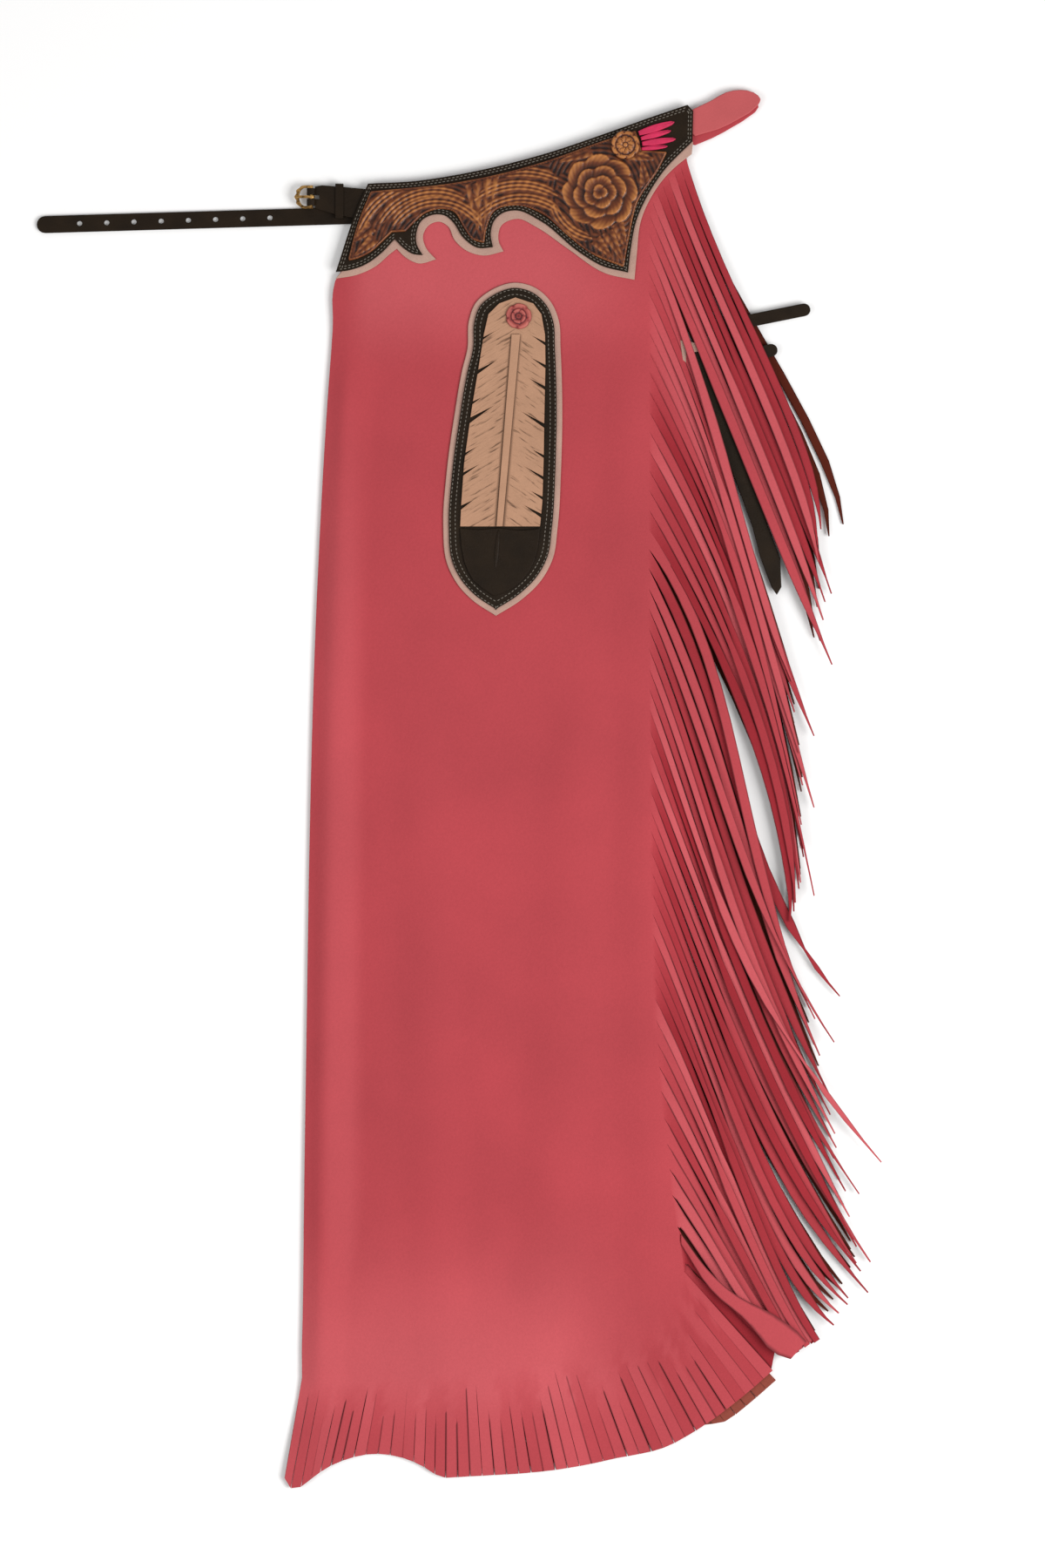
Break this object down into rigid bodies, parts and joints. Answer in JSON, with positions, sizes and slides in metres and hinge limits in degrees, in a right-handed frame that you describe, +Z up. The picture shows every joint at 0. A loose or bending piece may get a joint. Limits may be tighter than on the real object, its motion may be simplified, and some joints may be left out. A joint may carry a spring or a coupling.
{
  "type": "leather chaps",
  "caption": "Fringed pink leather western chaps with a tooled, scalloped yoke and a feather patch, folded and laid flat, buckle strap undone.",
  "frame": {"origin": "middle of the underside of the whole folded garment, on the surface that it lies on", "axes": "+Y towards the waist, +X towards the fringed outer edge, +Z up from the surface"},
  "size_m": [0.63, 1.0423, 0.0138],
  "materials": {
    "pink_leather": "soft matt leather with a fine nap",
    "flesh_side": "rough back of the leather",
    "black_leather": "smooth satin leather",
    "tooled_leather": "carved and glazed leather",
    "tan_leather": "undyed suede",
    "cream_leather": "smooth matt leather",
    "rose_leather": "matt leather",
    "lace": "flat leather lace",
    "brass": "worn cast brass"
  },
  "bodies": {
    "garment": {"leg_upper": "pink_leather", "leg_lower": "flesh_side", "wing_fringe_upper": "pink_leather", "wing_fringe_lower": "flesh_side", "hem_fringe_upper": "pink_leather", "hem_fringe_lower": "flesh_side", "yoke_underlay": "tan_leather", "yoke_border": "black_leather", "yoke_tooling": "tooled_leather", "rosette": "tooled_leather", "lace_1": "lace", "lace_2": "lace", "lace_3": "lace", "lace_4": "lace", "lace_tab_upper": "pink_leather", "lace_tab_lower": "pink_leather", "patch_underlay": "tan_leather", "patch_surround": "black_leather", "feather": "cream_leather", "feather_tip": "black_leather", "feather_quill": "cream_leather", "feather_rose": "rose_leather", "leg_strap_1": "black_leather", "leg_strap_2": "black_leather", "leg_strap_3": "black_leather", "leg_strap_3_end": "tan_leather", "billet": "black_leather", "buckle_strap": "black_leather", "keeper": "black_leather"},
    "buckle": {"buckle_frame": "brass"},
    "tongue": {"buckle_tongue": "brass"}
  },
  "joints": [
    {"name": "buckle_turn", "type": "hinge", "parent": "garment", "child": "buckle", "pos_m": [-0.11, 0.4425, 0.0058], "axis": [0, 1, 0], "range_deg": [0, 60]},
    {"name": "tongue_turn", "type": "hinge", "parent": "buckle", "child": "tongue", "pos_m": [-0.11, 0.4425, 0.0058], "axis": [0, 1, 0], "range_deg": [0, 90]}
  ]
}
